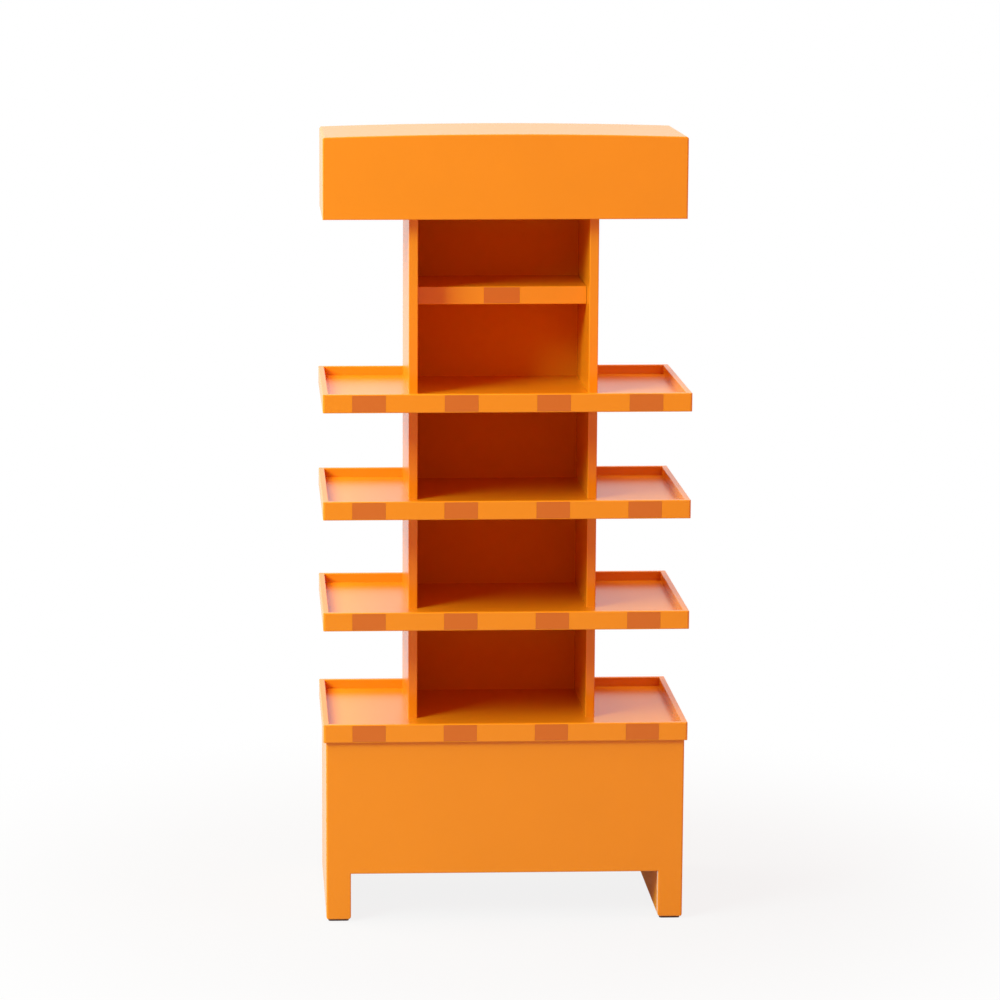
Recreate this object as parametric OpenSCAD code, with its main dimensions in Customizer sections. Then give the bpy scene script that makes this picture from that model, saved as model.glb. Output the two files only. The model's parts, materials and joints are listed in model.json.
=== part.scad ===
// Single-sided floor display rack of lacquered boards.
// Wide lipped trays are threaded on a narrow open-fronted column, over a footed base cabinet
// and under a boxed header with an arched top. The front faces -Y and the rack stands on Z = 0.

/* [Boards] */
// Thickness of floors, sides and cabinet boards
board_t = 19; // [16:0.5:22]
// Rounding of the column's front edges, the shelf's nosing and the header's lower edges
edge_r = 2; // [1:0.25:4]

/* [Trays] */
// Width of every tray
tray_w = 750; // [650:5:900]
// Depth of every tray
tray_d = 440; // [400:5:520]
// Thickness of the lipping round a tray
lip_t = 12; // [9:0.5:16]
// Height of the lipping above the tray floor
lip_rise = 19; // [10:0.5:30]
// Rounding along the long edges of the lipping
lip_edge_r = 2; // [1:0.25:4]
// Rounding of a tray's upright corners
tray_corner_r = 5; // [2:0.5:6]

/* [Levels] */
// Ground to the underside of the first tray
base_h = 381; // [330:1:450]
// Underside of the first tray to that of the second
first_rise = 234; // [200:1:300]
// Underside of the second tray to that of the third
second_rise = 230; // [200:1:300]
// Underside of the third tray to that of the fourth
third_rise = 220; // [200:1:300]
// Underside of the fourth tray to that of the header
header_rise = 382; // [330:1:450]

/* [Column] */
// Outer width of the column
column_w = 390; // [320:5:460]
// Tray front to column front
column_setback = 138; // [110:1:165]
// Thickness of the column's back panels
back_t = 12; // [9:0.5:15]
// Column's rear edge to the back panel
back_inset = 10; // [5:0.5:20]
// Depth of the grooves that hold the back panels
groove_d = 6; // [4:0.5:8]

/* [Upper shelf] */
// Header's underside to the top of the shelf
shelf_drop = 148; // [110:1:200]
// Column front to shelf front
shelf_setback = 60; // [30:1:90]
// Height of the shelf's nosing
nosing_h = 37; // [34:0.5:45]
// Thickness of the shelf's nosing
nosing_t = 12; // [9:0.5:16]

/* [Header] */
// Width of the header
header_w = 744; // [600:2:900]
// Height of the header at its ends
header_h = 167; // [130:1:220]
// Rise of the header's top from its ends to its middle
header_arch = 6; // [4:0.5:20]
// How far the header stands out in front of the column
header_reach = 40; // [10:1:60]
// Thickness of the arched skin
skin_t = 9; // [9:0.5:14]
// Rounding of the header's upper corners
header_corner_r = 6; // [4:0.5:8]
// Rounding of the header's upright edges
header_edge_r = 4; // [2:0.5:8]

/* [Base] */
// Tray's side to the side of the base
base_side_inset = 5.5; // [2:0.5:15]
// Tray's front to the front of the base
base_front_inset = 8; // [2:0.5:20]
// Rounding of the base's upright corners
base_corner_r = 4; // [2:0.5:8]
// Width of a foot
foot_w = 51; // [40:1:80]
// Height of the gap between the feet
foot_h = 101; // [70:1:140]
// Rounding of a foot's lower corners
foot_r = 6; // [3:0.5:8]
// Height of the bearers under the column
bearer_h = 60; // [40:1:90]

/* [Foot pads] */
// Thickness of a pad
pad_h = 4; // [3:0.5:8]
// Width of a pad
pad_w = 42; // [30:1:44]
// Length of a pad
pad_l = 60; // [40:1:90]
// Front of the base to the pad
pad_inset = 5; // [3:0.5:12]
// Rounding of a pad's corners
pad_corner_r = 5; // [3:0.5:10]

/* [Labels] */
// Width of a tray label
label_w = 68; // [50:1:80]
// Width of the shelf's label
shelf_label_w = 74; // [50:1:90]
// Thickness of a label, and depth of its pocket
label_t = 1.2; // [0.8:0.1:2]
// Lower edge of a label above the lower edge of its board
label_foot = 2.5; // [2:0.25:5]

/* [Fixings] */
// Diameter of the stage dowels
dowel_d = 8; // [6:0.5:10]
// Length of dowel in the board above and in the one below
dowel_bite = 13; // [10:0.5:18]
// Chamfer at a dowel's ends
dowel_chamfer = 1; // [0.5:0.1:1.5]
// Diameter of the shelf pins
pin_d = 5; // [4:0.5:7]
// Length of a shelf pin inside the column side
pin_bite = 9; // [7:0.5:10]
// Length of a shelf pin under the shelf
pin_reach = 10; // [8:0.5:14]

/* [Hidden] */
// Clearances
dowel_gap = 0.1;
socket_end_gap = 1;
groove_gap = 0.2;
shelf_gap = 0.8;
label_gap = 0.2;
rib_gap = 0.05;

// Lift of the header's fillets, so that each crosses the arch instead of only touching it
fillet_lift = 0.01;

// Overrun of every cut, and fineness of curves
overrun = 1;
$fn = 64;
arch_fn = 1440;

// Colours
lacquer = [0.94, 0.52, 0.11];
label_tone = [0.85, 0.45, 0.2];
pad_tone = [0.2, 0.12, 0.08];
beech = [0.85, 0.7, 0.5];
steel = [0.72, 0.73, 0.75];

// Places along a tray's width, along the column's depth and along the shelf's depth
label_shares = [-0.375, -0.125, 0.125, 0.375];
dowel_shares = [0.14, 0.5, 0.86];
pin_shares = [0.18, 0.82];

// Levels, from the ground up
tray_h = board_t + lip_rise;
second_z = base_h + first_rise;
third_z = second_z + second_rise;
fourth_z = third_z + third_rise;
header_z = fourth_z + header_rise;
tray_zs = [base_h, second_z, third_z, fourth_z];
stage_tops = [second_z, third_z, fourth_z, header_z];
joint_zs = concat(tray_zs, [header_z]);
last_stage = len(stage_tops) - 1;

// Label heights, from their foot to the rounded upper edge of the board that they sit in
tray_label_h = tray_h - lip_edge_r - label_foot;
shelf_label_h = nosing_h - edge_r - label_foot;

// Tray floor inside its lipping
floor_w = tray_w - 2 * lip_t;
floor_d = tray_d - 2 * lip_t;

// Column, whose rear stands against the back lipping
column_front = column_setback - tray_d / 2;
column_rear = tray_d / 2 - lip_t;
column_d = column_rear - column_front;
inner_w = column_w - 2 * board_t;
side_x = (column_w - board_t) / 2;
back_front = column_rear - back_inset - back_t;
socket_d = dowel_bite + socket_end_gap;

// Upper shelf
shelf_z = header_z - shelf_drop;
shelf_front = column_front + shelf_setback;
shelf_w = inner_w - 2 * shelf_gap;
shelf_board_front = shelf_front + nosing_t;
shelf_board_d = back_front - shelf_gap - shelf_board_front;
pin_z = shelf_z - board_t - pin_d / 2;

// Header, whose back is flush with the column's
header_front_y = column_front - header_reach;
header_d = column_rear - header_front_y;
header_inner_d = header_d - 2 * board_t;
header_inner_w = header_w - 2 * board_t;

// Arch through the header's ends and crown, and the fillet that runs it into the ends
arch_r = (pow(header_w / 2, 2) + pow(header_arch, 2)) / (2 * header_arch);
arch_z = header_h + header_arch - arch_r;
fillet_x = header_w / 2 - header_corner_r;
fillet_z = arch_z + sqrt(pow(arch_r - header_corner_r, 2) - pow(fillet_x, 2)) + fillet_lift;
tangent_x = fillet_x * arch_r / (arch_r - header_corner_r);
function arch_height(x, sunk) = arch_z + sqrt(pow(arch_r - sunk, 2) - pow(x, 2));

// Flat seat that the skin has over each end board
skin_seat_z = arch_height(header_inner_w / 2, skin_t);

// Base
base_w = tray_w - 2 * base_side_inset;
base_d = tray_d - 2 * base_front_inset;
base_inner_w = base_w - 2 * board_t;
base_inner_d = base_d - 2 * board_t;
foot_x = (base_w - foot_w) / 2;
pad_y = base_d / 2 - pad_inset - pad_l / 2;

function name_of(group, i, part) = str(group, "_", i + 1, "_", part);
tray_parts = ["floor", "front_lip", "back_lip", "left_lip", "right_lip", "labels"];
stage_parts = ["left_side", "right_side", "back"];

// Outlines

// Rectangle centred on X, with its front edge on the X axis and both front corners rounded
module front_rounded(width, depth, r) {
    translate([-width / 2, r])
        square([width, depth - r]);
    translate([r - width / 2, 0])
        square([width - 2 * r, r]);
    for (side = [-1, 1])
        translate([side * (width / 2 - r), r])
            circle(r);
}

// Rectangle centred on the origin with four rounded corners
module all_rounded(width, depth, r) {
    square([width, depth - 2 * r], center = true);
    square([width - 2 * r, depth], center = true);
    for (x = [-1, 1], y = [-1, 1])
        translate([x * (width / 2 - r), y * (depth / 2 - r)])
            circle(r);
}

// Upright strip of an elevation, centred on X = x
module upright_strip(x, width, bottom, top) {
    translate([x - width / 2, bottom])
        square([width, top - bottom]);
}

// Draws an elevation (X across, Y up) as a board that runs from front to back
module along_depth(front, depth) {
    translate([0, front + depth, 0])
        rotate([90, 0, 0])
            linear_extrude(depth)
                children();
}

// Fixings

module at_dowels(sides = [-1, 1]) {
    for (side = sides, share = dowel_shares)
        translate([side * side_x, column_front + share * column_d, 0])
            children();
}

module dowel_holes(z, depth, sides = [-1, 1]) {
    at_dowels(sides)
        translate([0, 0, z])
            cylinder(d = dowel_d + 2 * dowel_gap, h = depth);
}

module dowel() {
    body = board_t + 2 * (dowel_bite - dowel_chamfer);
    end_d = dowel_d - 2 * dowel_chamfer;
    translate([0, 0, -dowel_bite])
        cylinder(d1 = end_d, d2 = dowel_d, h = dowel_chamfer);
    translate([0, 0, dowel_chamfer - dowel_bite])
        cylinder(d = dowel_d, h = body);
    translate([0, 0, board_t + dowel_bite - dowel_chamfer])
        cylinder(d1 = dowel_d, d2 = end_d, h = dowel_chamfer);
}

module stage_dowels() {
    color(beech)
        for (z = joint_zs)
            at_dowels()
                translate([0, 0, z])
                    dowel();
}

// Rod along X at every pin place of one side, from inner to outer distance from the middle
module pin_rods(side, d, inner, outer) {
    for (share = pin_shares)
        translate([side * (inner + outer) / 2, shelf_board_front + share * shelf_board_d, pin_z])
            rotate([0, 90, 0])
                cylinder(d = d, h = outer - inner, center = true);
}

module shelf_pins() {
    color(steel)
        for (side = [-1, 1])
            pin_rods(side, pin_d, inner_w / 2 - pin_reach, inner_w / 2 + pin_bite);
}

// Labels

// Plate whose face lies over the X axis, let in by its own thickness
module label_plate(width, height) {
    translate([-width / 2, 0, label_foot])
        cube([width, label_t, height]);
}

module label_pocket(width, height) {
    translate([-width / 2 - label_gap, -overrun, label_foot - label_gap])
        cube([width + 2 * label_gap, label_t + overrun, height + 2 * label_gap]);
}

module at_tray_labels(i) {
    for (share = label_shares)
        translate([share * tray_w, -tray_d / 2, tray_zs[i]])
            children();
}

module tray_labels(i) {
    color(label_tone)
        at_tray_labels(i)
            label_plate(label_w, tray_label_h);
}

module at_shelf_label() {
    translate([0, shelf_front, shelf_z - nosing_h])
        children();
}

module shelf_label() {
    color(label_tone)
        at_shelf_label()
            label_plate(shelf_label_w, shelf_label_h);
}

// Trays

// Section of the lipping, outer face on the Y axis, with only the lower inner edge left sharp
module lip_section() {
    r = lip_edge_r;
    translate([0, r])
        square([lip_t, tray_h - 2 * r]);
    translate([r, 0])
        square([lip_t - r, r]);
    translate([r, tray_h - r])
        square([lip_t - 2 * r, r]);
    for (corner = [[r, r], [r, tray_h - r], [lip_t - r, tray_h - r]])
        translate(corner)
            circle(r);
}

// Mitred plan of a strip with its outer face on the X axis
module lip_plan(length) {
    end = length / 2;
    intersection() {
        front_rounded(length, lip_t, tray_corner_r);
        polygon([[-end, 0], [end, 0], [end - lip_t, lip_t], [lip_t - end, lip_t]]);
    }
}

module lip(length) {
    intersection() {
        linear_extrude(tray_h)
            lip_plan(length);
        rotate([90, 0, 90])
            linear_extrude(length, center = true)
                lip_section();
    }
}

module tray_floor(i) {
    color(lacquer)
        difference() {
            translate([-floor_w / 2, -floor_d / 2, tray_zs[i]])
                cube([floor_w, floor_d, board_t]);
            dowel_holes(tray_zs[i] - overrun, board_t + 2 * overrun);
        }
}

module tray_front_lip(i) {
    color(lacquer)
        difference() {
            translate([0, -tray_d / 2, tray_zs[i]])
                lip(tray_w);
            at_tray_labels(i)
                label_pocket(label_w, tray_label_h);
        }
}

module tray_back_lip(i) {
    color(lacquer)
        translate([0, tray_d / 2, tray_zs[i]])
            rotate(180)
                lip(tray_w);
}

module tray_side_lip(i, side) {
    color(lacquer)
        translate([side * tray_w / 2, 0, tray_zs[i]])
            rotate(side * 90)
                lip(tray_d);
}

// Column stages, each standing on its tray's floor

function stage_foot(i) = tray_zs[i] + board_t;

// Upright groove in the inner face of a column side
module back_groove(side, foot, top) {
    width = groove_d + overrun;
    floor_x = inner_w / 2 + groove_d;
    translate([side * (floor_x - width / 2), back_front + back_t / 2, (foot + top) / 2])
        cube([width, back_t + 2 * groove_gap, top - foot + 2 * overrun], center = true);
}

module pin_sockets(side) {
    mouth_x = inner_w / 2 - overrun;
    end_x = inner_w / 2 + pin_bite + socket_end_gap;
    pin_rods(side, pin_d + 2 * dowel_gap, mouth_x, end_x);
}

module stage_side(i, side) {
    foot = stage_foot(i);
    top = stage_tops[i];
    color(lacquer)
        difference() {
            translate([side * side_x, column_front, foot])
                linear_extrude(top - foot)
                    front_rounded(board_t, column_d, edge_r);
            back_groove(side, foot, top);
            dowel_holes(foot - overrun, socket_d + overrun, [side]);
            dowel_holes(top - socket_d, socket_d + overrun, [side]);
            if (i == last_stage)
                pin_sockets(side);
        }
}

module stage_back(i) {
    foot = stage_foot(i);
    width = inner_w + 2 * (groove_d - groove_gap);
    color(lacquer)
        translate([-width / 2, back_front, foot])
            cube([width, back_t, stage_tops[i] - foot]);
}

// Upper shelf

module upper_shelf() {
    color(lacquer)
        translate([-shelf_w / 2, shelf_board_front, shelf_z - board_t])
            cube([shelf_w, shelf_board_d, board_t]);
}

module shelf_nosing() {
    color(lacquer)
        difference() {
            translate([0, shelf_front, shelf_z - nosing_h / 2])
                rotate([0, -90, 0])
                    linear_extrude(shelf_w, center = true)
                        front_rounded(nosing_h, nosing_t, edge_r);
            at_shelf_label()
                label_pocket(shelf_label_w, shelf_label_h);
        }
}

// Header

// Disc of the arch, or of the skin's underside
module arch_disc(sunk = 0) {
    translate([0, arch_z])
        circle(arch_r - sunk, $fn = arch_fn);
}

// Elevation of the header from its underside, with filleted upper corners
module header_elevation() {
    upright_strip(0, header_w, 0, fillet_z);
    intersection() {
        upright_strip(0, 2 * tangent_x, 0, header_h + header_arch);
        arch_disc();
    }
    for (side = [-1, 1])
        translate([side * fillet_x, fillet_z])
            circle(header_corner_r);
}

// Section of the header's front board, its face on the Y axis and its lower edge rounded
module header_board_section() {
    translate([0, edge_r])
        square([board_t, header_h + header_arch]);
    translate([edge_r, 0])
        square([board_t - edge_r, edge_r]);
    translate([edge_r, edge_r])
        circle(edge_r);
}

// Front board with its face on the X axis
module header_board() {
    intersection() {
        along_depth(0, board_t)
            header_elevation();
        linear_extrude(header_h + header_arch)
            front_rounded(header_w, board_t, header_edge_r);
        rotate([90, 0, 90])
            linear_extrude(header_w + 2 * overrun, center = true)
                header_board_section();
    }
}

module header_front() {
    color(lacquer)
        translate([0, header_front_y, header_z])
            header_board();
}

module header_back() {
    color(lacquer)
        translate([0, column_rear, header_z])
            rotate(180)
                header_board();
}

module header_end(side) {
    color(lacquer)
        translate([0, 0, header_z])
            along_depth(header_front_y + board_t, header_inner_d)
                upright_strip(side * (header_w - board_t) / 2, board_t, 0, skin_seat_z);
}

// Elevation of a rib, its top bevelled to the chord of the arch
module rib_elevation(side) {
    inner = side_x - board_t / 2;
    outer = side_x + board_t / 2;
    inner_top = arch_height(inner, skin_t + rib_gap);
    outer_top = arch_height(outer, skin_t + rib_gap);
    polygon([
        [side * inner, board_t],
        [side * outer, board_t],
        [side * outer, outer_top],
        [side * inner, inner_top]
    ]);
}

module header_ribs() {
    color(lacquer)
        difference() {
            for (side = [-1, 1])
                translate([0, 0, header_z])
                    along_depth(header_front_y + board_t, header_inner_d)
                        rib_elevation(side);
            dowel_holes(header_z + board_t - overrun, socket_d + overrun);
        }
}

module header_bottom() {
    color(lacquer)
        difference() {
            translate([-header_inner_w / 2, header_front_y + board_t, header_z])
                cube([header_inner_w, header_inner_d, board_t]);
            dowel_holes(header_z - overrun, board_t + 2 * overrun);
        }
}

module header_top() {
    color(lacquer)
        translate([0, 0, header_z])
            along_depth(header_front_y + board_t, header_inner_d)
                difference() {
                    header_elevation();
                    arch_disc(skin_t);
                    upright_strip(0, header_w + 2 * overrun, -overrun, skin_seat_z);
                }
}

// Base cabinet

module foot_elevation(side) {
    translate([side * foot_x, pad_h])
        front_rounded(foot_w, foot_h - pad_h, foot_r);
}

module base_elevation() {
    upright_strip(0, base_w, foot_h, base_h);
    for (side = [-1, 1])
        foot_elevation(side);
}

// Footed board with its face on the X axis
module base_board() {
    intersection() {
        along_depth(0, board_t)
            base_elevation();
        linear_extrude(base_h)
            front_rounded(base_w, board_t, base_corner_r);
    }
}

module base_front() {
    color(lacquer)
        translate([0, -base_d / 2, 0])
            base_board();
}

module base_back() {
    color(lacquer)
        translate([0, base_d / 2, 0])
            rotate(180)
                base_board();
}

module base_side(side) {
    color(lacquer)
        along_depth(-base_inner_d / 2, base_inner_d)
            intersection() {
                base_elevation();
                upright_strip(side * (base_w - board_t) / 2, board_t, 0, base_h);
            }
}

module base_bottom() {
    color(lacquer)
        translate([-base_inner_w / 2, -base_inner_d / 2, foot_h])
            cube([base_inner_w, base_inner_d, board_t]);
}

module base_bearers() {
    color(lacquer)
        difference() {
            for (side = [-1, 1])
                along_depth(-base_inner_d / 2, base_inner_d)
                    upright_strip(side * side_x, board_t, base_h - bearer_h, base_h);
            dowel_holes(base_h - socket_d, socket_d + overrun);
        }
}

// Rails that fill each foot out behind the front board
module foot_rails() {
    rail_w = foot_w - board_t;
    color(lacquer)
        for (side = [-1, 1])
            along_depth(-base_inner_d / 2, base_inner_d)
                intersection() {
                    foot_elevation(side);
                    upright_strip(side * (base_inner_w - rail_w) / 2, rail_w, 0, foot_h);
                }
}

module foot_pads() {
    color(pad_tone)
        for (x = [-foot_x, foot_x], y = [-pad_y, pad_y])
            translate([x, y, 0])
                linear_extrude(pad_h)
                    all_rounded(pad_w, pad_l, pad_corner_r);
}

// Nodes

header_front();
header_back();
header_end(-1);  // header_left_end
header_end(1);  // header_right_end
header_bottom();
header_ribs();
header_top();
upper_shelf();
shelf_nosing();
shelf_label();
shelf_pins();
for (i = [0 : last_stage]) {
    stage_side(i, -1);
    stage_side(i, 1);
    stage_back(i);
    tray_floor(i);
    tray_front_lip(i);
    tray_back_lip(i);
    tray_side_lip(i, -1);
    tray_side_lip(i, 1);
    tray_labels(i);
}
base_front();
base_back();
base_side(-1);  // base_left_side
base_side(1);  // base_right_side
base_bottom();
base_bearers();
foot_rails();
foot_pads();
stage_dowels();
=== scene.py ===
"""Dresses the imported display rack: satin orange lacquer on board, blank label plates and dark foot pads."""
import json
import math

import bpy
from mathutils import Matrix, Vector

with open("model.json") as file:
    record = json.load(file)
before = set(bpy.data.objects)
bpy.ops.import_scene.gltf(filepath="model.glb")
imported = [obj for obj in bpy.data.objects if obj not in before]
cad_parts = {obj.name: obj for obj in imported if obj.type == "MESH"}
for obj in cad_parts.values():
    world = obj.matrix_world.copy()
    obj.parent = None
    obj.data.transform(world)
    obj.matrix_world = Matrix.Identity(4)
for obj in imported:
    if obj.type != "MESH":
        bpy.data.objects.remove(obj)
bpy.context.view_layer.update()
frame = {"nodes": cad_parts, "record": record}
nodes = frame["nodes"]

# Camera, fitted to the photograph's 1000 x 1000 frame
IMAGE_PX = 1000
FOCAL_PX = 3690.65
AXIS_X_PX = 374.46
SENSOR_MM = 36.0
CAMERA_PLACE = Vector((-0.5279, -7.5973, 2.1609))
CAMERA_YAW = math.radians(2.0)
CAMERA_PITCH = math.radians(9.79)

# Linear colours of the finishes
ORANGE = (0.81, 0.27, 0.006, 1.0)
TERRACOTTA = (0.6, 0.153, 0.019, 1.0)
PAD_BROWN = (0.05, 0.017, 0.007, 1.0)
BEECH = (0.62, 0.40, 0.19, 1.0)
STEEL = (0.62, 0.62, 0.64, 1.0)
WHITE = (1.0, 1.0, 1.0, 1.0)

# Grain of the finishes: noise scale, detail and roughness
LACQUER_CLOUD = (7.0, 3.0, 0.5)
LACQUER_SHEEN = (45.0, 2.0, 0.5)
LACQUER_PEEL = (110.0, 1.0, 0.5)
CARD_FIBRE = (900.0, 4.0, 0.7)
PAD_GRAIN = (1400.0, 3.0, 0.5)
BEECH_GRAIN = (300.0, 4.0, 0.5)
STEEL_GRAIN = (2500.0, 2.0, 0.5)

# Shades of the finishes: share of the colour at the grain's darkest and lightest
LACQUER_SHADES = (0.97, 1.03)
CARD_SHADES = (0.94, 1.05)
PAD_SHADES = (0.7, 1.4)
BEECH_SHADES = (0.8, 1.1)
STEEL_SHADES = (0.9, 1.05)

# Roughness of the finishes at the grain's smoothest and roughest
SATIN_ROUGHNESS = (0.22, 0.26)
MATT_ROUGHNESS = (0.6, 0.7)
CARD_ROUGHNESS = (0.45, 0.6)
PAD_ROUGHNESS = (0.7, 0.9)
BEECH_ROUGHNESS = (0.55, 0.7)
STEEL_ROUGHNESS = (0.25, 0.4)

# Relief of the finishes: bump strength and height
PEEL_RELIEF = (0.05, 0.0004)
CARD_RELIEF = (0.1, 0.0002)
PAD_RELIEF = (0.3, 0.0005)

# Specular levels
SATIN_GLOSS = 0.3
MATT_GLOSS = 0.05
CARD_GLOSS = 0.25

# Inner boards and back panels, which are left without the satin top coat
MATT_NODES = ("stage_1_back", "stage_2_back", "stage_3_back", "stage_4_back", "header_ribs", "base_bottom",
              "base_bearers", "foot_rails")

# Eased outlines of the large boards, each named with the end of its depth that shows
EASED_BOARDS = (("header_front", min), ("header_back", max), ("base_front", min), ("base_back", max))
EASED_EDGE = 0.0025
EASED_SEGMENTS = 3
SHARP_ANGLE = math.radians(50)
FLAT_ANGLE = math.radians(0.05)
PLANE_TOLERANCE = 0.00002

# Studio: a soft cool key from the left front, a broader lamp high on the left and a faint one on the right.
# Each holds its azimuth in degrees from the front towards the left, its elevation in degrees, and its
# distance, width, power and colour
AIM = Vector((0.0, 0.0, 0.85))
KEY = (55.0, 30.0, 8.0, 3.0, 710.0, (0.72, 1.0, 1.0))
LEFT = (95.0, 57.0, 10.0, 6.0, 800.0, (0.92, 1.0, 0.97))
RIGHT = (-75.0, 50.0, 8.0, 4.0, 150.0, (1.0, 1.0, 1.0))

# Room: white at the back left, warm and dim in front
ROOM_AXIS = Vector((-0.45, 0.8, -0.1)).normalized()
ROOM_SPAN = (0.2, 0.95)
ROOM_FRONT = (0.66, 0.175, 0.05, 1.0)
ROOM_BACK = (1.25, 1.25, 1.25, 1.0)

# Floor, with a veil of plain white that thickens between two distances from the rack's middle
FLOOR_HALF = 3.0
FLOOR_GREY = (0.4, 0.4, 0.4, 1.0)
FLOOR_VEIL = 0.86
VEIL_SPAN = (0.5, 1.6)


class Graph:
    """Shorthand for building one node tree."""

    def __init__(self, tree):
        self.tree = tree
        self.tree.nodes.clear()

    def add(self, kind, **settings):
        node = self.tree.nodes.new(kind)
        for key, value in settings.items():
            setattr(node, key, value)
        return node

    def link(self, source, target):
        self.tree.links.new(source, target)


def new_material(name):
    """Empty material, its graph and its Principled shader wired to the output."""
    material = bpy.data.materials.new(name)
    material.use_nodes = True
    graph = Graph(material.node_tree)
    shader = graph.add("ShaderNodeBsdfPrincipled")
    output = graph.add("ShaderNodeOutputMaterial")
    graph.link(shader.outputs["BSDF"], output.inputs["Surface"])
    return material, graph, shader


def add_noise(graph, scale, detail, roughness):
    place = graph.add("ShaderNodeTexCoord")
    noise = graph.add("ShaderNodeTexNoise")
    noise.inputs["Scale"].default_value = scale
    noise.inputs["Detail"].default_value = detail
    noise.inputs["Roughness"].default_value = roughness
    graph.link(place.outputs["Object"], noise.inputs["Vector"])
    return noise.outputs["Fac"]


def add_range(graph, value, low, high):
    span = graph.add("ShaderNodeMapRange")
    span.inputs["To Min"].default_value = low
    span.inputs["To Max"].default_value = high
    graph.link(value, span.inputs["Value"])
    return span.outputs["Result"]


def add_tint(graph, value, colour, low, high):
    """The colour, darkened and lightened between two shares by a value."""
    ramp = graph.add("ShaderNodeValToRGB")
    for stop, level in zip(ramp.color_ramp.elements, (low, high)):
        stop.color = [min(1.0, part * level) for part in colour[:3]] + [1.0]
    graph.link(value, ramp.inputs["Fac"])
    return ramp.outputs["Color"]


def add_grain(graph, shader, grain, colour, shades, roughness):
    """Lets one grain vary both the shader's colour and its roughness."""
    graph.link(add_tint(graph, grain, colour, *shades), shader.inputs["Base Color"])
    graph.link(add_range(graph, grain, *roughness), shader.inputs["Roughness"])


def add_mix(graph, share, low, high):
    """Colour between two colours, either of which may be a socket."""
    mix = graph.add("ShaderNodeMix", data_type="RGBA")
    graph.link(share, mix.inputs["Factor"])
    for name, colour in (("A", low), ("B", high)):
        socket = next(entry for entry in mix.inputs if entry.name == name and entry.type == "RGBA")
        if isinstance(colour, tuple):
            socket.default_value = colour
        else:
            graph.link(colour, socket)
    return next(entry for entry in mix.outputs if entry.type == "RGBA")


def add_smooth_span(graph, value, span):
    """Map Range node that eases from nought to one between the two ends of a span."""
    ease = graph.add("ShaderNodeMapRange", interpolation_type="SMOOTHSTEP")
    ease.inputs["From Min"].default_value = span[0]
    ease.inputs["From Max"].default_value = span[1]
    graph.link(value, ease.inputs["Value"])
    return ease


def add_view_share(graph):
    """One for rays that show the background, straight or in a reflection, and nought for the rest."""
    path = graph.add("ShaderNodeLightPath")
    share = path.outputs["Is Camera Ray"]
    for kind in ("Is Glossy Ray", "Is Transmission Ray"):
        either = graph.add("ShaderNodeMath", operation="MAXIMUM")
        graph.link(share, either.inputs[0])
        graph.link(path.outputs[kind], either.inputs[1])
        share = either.outputs["Value"]
    return share


def add_bump(graph, shader, height, strength, distance):
    bump = graph.add("ShaderNodeBump")
    bump.inputs["Strength"].default_value = strength
    bump.inputs["Distance"].default_value = distance
    graph.link(height, bump.inputs["Height"])
    graph.link(bump.outputs["Normal"], shader.inputs["Normal"])


def lacquer_material(name, gloss, roughness):
    """Sprayed lacquer: broad cloudiness in the colour, an uneven sheen and a fine orange peel."""
    material, graph, shader = new_material(name)
    shader.inputs["Specular IOR Level"].default_value = gloss
    cloud = add_noise(graph, *LACQUER_CLOUD)
    sheen = add_noise(graph, *LACQUER_SHEEN)
    peel = add_noise(graph, *LACQUER_PEEL)
    graph.link(add_tint(graph, cloud, ORANGE, *LACQUER_SHADES), shader.inputs["Base Color"])
    graph.link(add_range(graph, sheen, *roughness), shader.inputs["Roughness"])
    add_bump(graph, shader, peel, *PEEL_RELIEF)
    return material


def label_material():
    """Matt coloured card without print."""
    material, graph, shader = new_material("label")
    shader.inputs["Specular IOR Level"].default_value = CARD_GLOSS
    fibre = add_noise(graph, *CARD_FIBRE)
    add_grain(graph, shader, fibre, TERRACOTTA, CARD_SHADES, CARD_ROUGHNESS)
    add_bump(graph, shader, fibre, *CARD_RELIEF)
    return material


def pad_material():
    """Dark grained foot pads."""
    material, graph, shader = new_material("pad")
    grain = add_noise(graph, *PAD_GRAIN)
    add_grain(graph, shader, grain, PAD_BROWN, PAD_SHADES, PAD_ROUGHNESS)
    add_bump(graph, shader, grain, *PAD_RELIEF)
    return material


def dowel_material():
    """Bare beech."""
    material, graph, shader = new_material("dowel")
    grain = add_noise(graph, *BEECH_GRAIN)
    add_grain(graph, shader, grain, BEECH, BEECH_SHADES, BEECH_ROUGHNESS)
    return material


def pin_material():
    """Drawn steel."""
    material, graph, shader = new_material("pin")
    shader.inputs["Metallic"].default_value = 1.0
    drawn = add_noise(graph, *STEEL_GRAIN)
    add_grain(graph, shader, drawn, STEEL, STEEL_SHADES, STEEL_ROUGHNESS)
    return material


def dress_nodes():
    """Gives each carried-over node the material of its slot in the record, or the matt lacquer."""
    made = {"lacquer": lacquer_material("lacquer", SATIN_GLOSS, SATIN_ROUGHNESS), "label": label_material(),
            "pad": pad_material(), "dowel": dowel_material(), "pin": pin_material()}
    inside = lacquer_material("lacquer_matt", MATT_GLOSS, MATT_ROUGHNESS)
    for part in frame["record"]["subparts"]:
        node = nodes[part["node"]]
        node.data.materials.clear()
        node.data.materials.append(inside if part["node"] in MATT_NODES else made[part["material_slot"]])


def new_group(name, *numbers):
    """Geometry node group with the named number inputs, its graph, its input node and its output node."""
    group = bpy.data.node_groups.new(name, "GeometryNodeTree")
    group.interface.new_socket("Geometry", in_out="INPUT", socket_type="NodeSocketGeometry")
    for number in numbers:
        group.interface.new_socket(number, in_out="INPUT", socket_type="NodeSocketFloat")
    group.interface.new_socket("Geometry", in_out="OUTPUT", socket_type="NodeSocketGeometry")
    graph = Graph(group)
    return group, graph, graph.add("NodeGroupInput"), graph.add("NodeGroupOutput")


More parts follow.
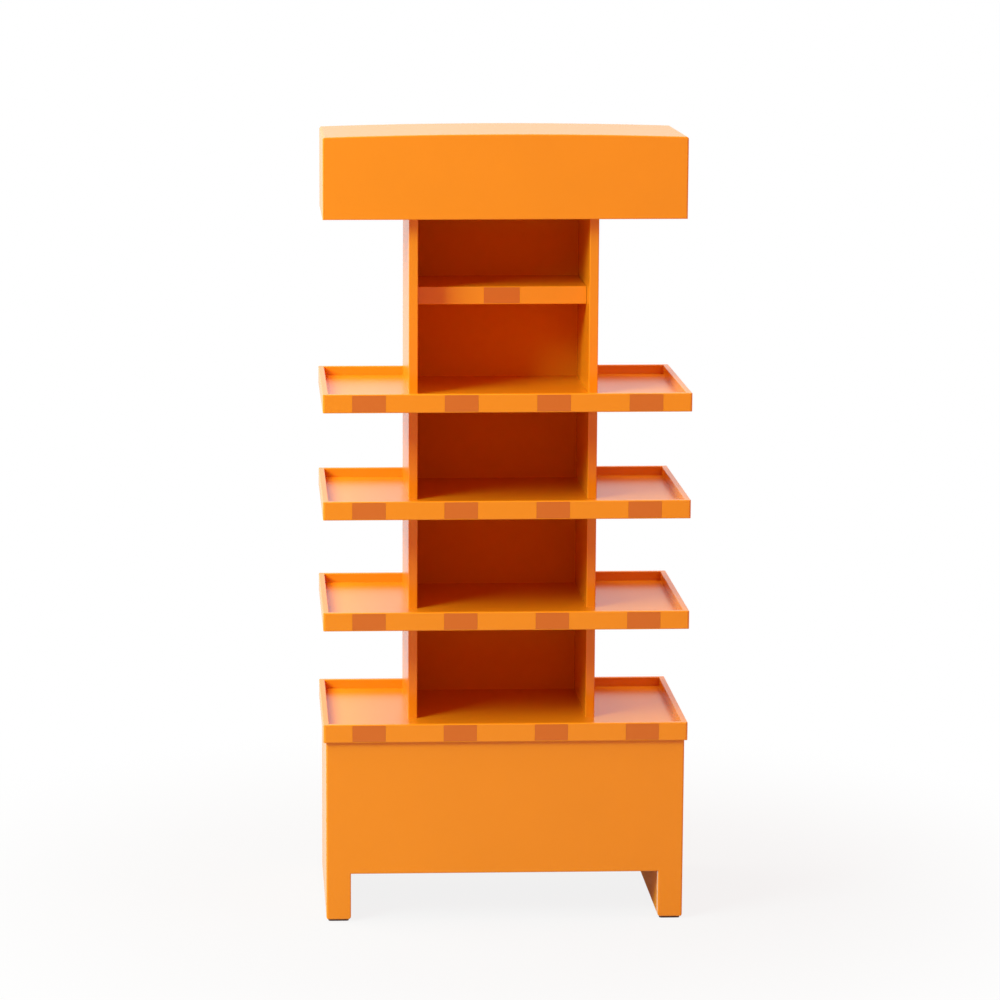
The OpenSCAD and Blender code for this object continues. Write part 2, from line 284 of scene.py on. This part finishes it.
def add_sharp(graph):
    """True on the edges where faces meet at more than the sharp angle."""
    angle = graph.add("GeometryNodeInputMeshEdgeAngle")
    sharp = graph.add("FunctionNodeCompare", operation="GREATER_THAN")
    sharp.inputs["B"].default_value = SHARP_ANGLE
    graph.link(angle.outputs["Unsigned Angle"], sharp.inputs["A"])
    return sharp.outputs["Result"]


def face_edges_group():
    """Geometry nodes that mark for a bevel the sharp edges lying in one upright plane."""
    group, graph, source, result = new_group("face_edges", "Plane")
    ends = graph.add("GeometryNodeInputMeshEdgeVertices")
    marked = add_sharp(graph)
    for end in ("Position 1", "Position 2"):
        parts = graph.add("ShaderNodeSeparateXYZ")
        near = graph.add("FunctionNodeCompare", operation="EQUAL")
        near.inputs["Epsilon"].default_value = PLANE_TOLERANCE
        both = graph.add("FunctionNodeBooleanMath", operation="AND")
        graph.link(ends.outputs[end], parts.inputs["Vector"])
        graph.link(parts.outputs["Y"], near.inputs["A"])
        graph.link(source.outputs["Plane"], near.inputs["B"])
        graph.link(marked, both.inputs[0])
        graph.link(near.outputs["Result"], both.inputs[1])
        marked = both.outputs["Boolean"]
    store = graph.add("GeometryNodeStoreNamedAttribute", data_type="FLOAT", domain="EDGE")
    store.inputs["Name"].default_value = "bevel_weight_edge"
    graph.link(source.outputs["Geometry"], store.inputs["Geometry"])
    graph.link(marked, store.inputs["Value"])
    graph.link(store.outputs["Geometry"], result.inputs["Geometry"])
    return group


def creases_group():
    """Geometry nodes that keep the sharp edges left after a bevel from being shaded round."""
    group, graph, source, result = new_group("creases")
    crease = graph.add("GeometryNodeSetShadeSmooth", domain="EDGE")
    crease.inputs["Shade Smooth"].default_value = False
    graph.link(source.outputs["Geometry"], crease.inputs["Geometry"])
    graph.link(add_sharp(graph), crease.inputs["Selection"])
    graph.link(crease.outputs["Geometry"], result.inputs["Geometry"])
    return group


def ease_faces():
    """Eases the outlines of the large front and back boards, leaving their flush joints closed."""
    edges = face_edges_group()
    creases = creases_group()
    plane = edges.interface.items_tree["Plane"].identifier
    for name, shown_end in EASED_BOARDS:
        node = nodes[name]
        joined = node.modifiers.new("joined", "WELD")
        joined.merge_threshold = PLANE_TOLERANCE
        flat = node.modifiers.new("flat", "DECIMATE")
        flat.decimate_type = "DISSOLVE"
        flat.angle_limit = FLAT_ANGLE
        marks = node.modifiers.new("marks", "NODES")
        marks.node_group = edges
        marks[plane] = shown_end((node.matrix_world @ vertex.co).y for vertex in node.data.vertices)
        eased = node.modifiers.new("eased", "BEVEL")
        eased.limit_method = "WEIGHT"
        eased.width = EASED_EDGE
        eased.segments = EASED_SEGMENTS
        eased.use_clamp_overlap = False
        node.modifiers.new("creases", "NODES").node_group = creases
        node.modifiers.new("shaded", "WEIGHTED_NORMAL").keep_sharp = True


def add_camera():
    """Camera at the photograph's viewing angle, shifted sideways as its framing needs."""
    data = bpy.data.cameras.new("camera")
    data.sensor_width = SENSOR_MM
    data.lens = FOCAL_PX / IMAGE_PX * SENSOR_MM
    data.shift_x = (IMAGE_PX / 2 - AXIS_X_PX) / IMAGE_PX
    camera = bpy.data.objects.new("camera", data)
    level = math.cos(CAMERA_PITCH)
    forward = Vector((math.sin(CAMERA_YAW) * level, math.cos(CAMERA_YAW) * level, -math.sin(CAMERA_PITCH)))
    camera.location = CAMERA_PLACE
    camera.rotation_euler = forward.to_track_quat("-Z", "Y").to_euler()
    bpy.context.scene.collection.objects.link(camera)
    bpy.context.scene.camera = camera


def add_softbox(name, azimuth, elevation, distance, width, power, colour):
    """Square lamp aimed at the rack."""
    data = bpy.data.lights.new(name, "AREA")
    data.size = width
    data.energy = power
    data.color = colour
    lamp = bpy.data.objects.new(name, data)
    turn, rise = math.radians(azimuth), math.radians(elevation)
    away = Vector((-math.sin(turn) * math.cos(rise), -math.cos(turn) * math.cos(rise), math.sin(rise)))
    lamp.location = AIM + distance * away
    lamp.rotation_euler = (-away).to_track_quat("-Z", "Y").to_euler()
    bpy.context.scene.collection.objects.link(lamp)


def floor_material():
    """Grey under a veil of plain white, thinner near the rack so that its soft shadow shows."""
    material = bpy.data.materials.new("floor")
    material.use_nodes = True
    graph = Graph(material.node_tree)
    diffuse = graph.add("ShaderNodeBsdfDiffuse")
    diffuse.inputs["Color"].default_value = FLOOR_GREY
    shown = graph.add("ShaderNodeEmission")
    shown.inputs["Color"].default_value = WHITE
    place = graph.add("ShaderNodeTexCoord")
    reach = graph.add("ShaderNodeVectorMath", operation="LENGTH")
    graph.link(place.outputs["Object"], reach.inputs[0])
    fade = add_smooth_span(graph, reach.outputs["Value"], VEIL_SPAN)
    fade.inputs["To Min"].default_value = FLOOR_VEIL
    veil = graph.add("ShaderNodeMath", operation="MULTIPLY")
    graph.link(add_view_share(graph), veil.inputs[0])
    graph.link(fade.outputs["Result"], veil.inputs[1])
    mix = graph.add("ShaderNodeMixShader")
    graph.link(veil.outputs["Value"], mix.inputs["Fac"])
    graph.link(diffuse.outputs["BSDF"], mix.inputs[1])
    graph.link(shown.outputs["Emission"], mix.inputs[2])
    output = graph.add("ShaderNodeOutputMaterial")
    graph.link(mix.outputs["Shader"], output.inputs["Surface"])
    return material


def add_floor():
    """White floor that keeps only the rack's own soft shadow."""
    mesh = bpy.data.meshes.new("floor")
    corners = [(x * FLOOR_HALF, y * FLOOR_HALF, 0.0) for x, y in ((-1, -1), (1, -1), (1, 1), (-1, 1))]
    mesh.from_pydata(corners, [], [(0, 1, 2, 3)])
    mesh.materials.append(floor_material())
    floor = bpy.data.objects.new("floor", mesh)
    bpy.context.scene.collection.objects.link(floor)


def set_world():
    """White to view, also in reflections. Its light is white from the back left, warm and dim in front."""
    world = bpy.data.worlds.new("room")
    bpy.context.scene.world = world
    world.use_nodes = True
    graph = Graph(world.node_tree)
    place = graph.add("ShaderNodeTexCoord")
    along = graph.add("ShaderNodeVectorMath", operation="DOT_PRODUCT")
    along.inputs[1].default_value = ROOM_AXIS
    graph.link(place.outputs["Generated"], along.inputs[0])
    share = add_smooth_span(graph, along.outputs["Value"], ROOM_SPAN)
    room = add_mix(graph, share.outputs["Result"], ROOM_FRONT, ROOM_BACK)
    seen = add_mix(graph, add_view_share(graph), room, WHITE)
    shader = graph.add("ShaderNodeBackground")
    graph.link(seen, shader.inputs["Color"])
    output = graph.add("ShaderNodeOutputWorld")
    graph.link(shader.outputs["Background"], output.inputs["Surface"])


dress_nodes()
ease_faces()
add_camera()
add_softbox("key", *KEY)
add_softbox("left", *LEFT)
add_softbox("right", *RIGHT)
add_floor()
set_world()
bpy.context.scene.view_settings.view_transform = "Standard"
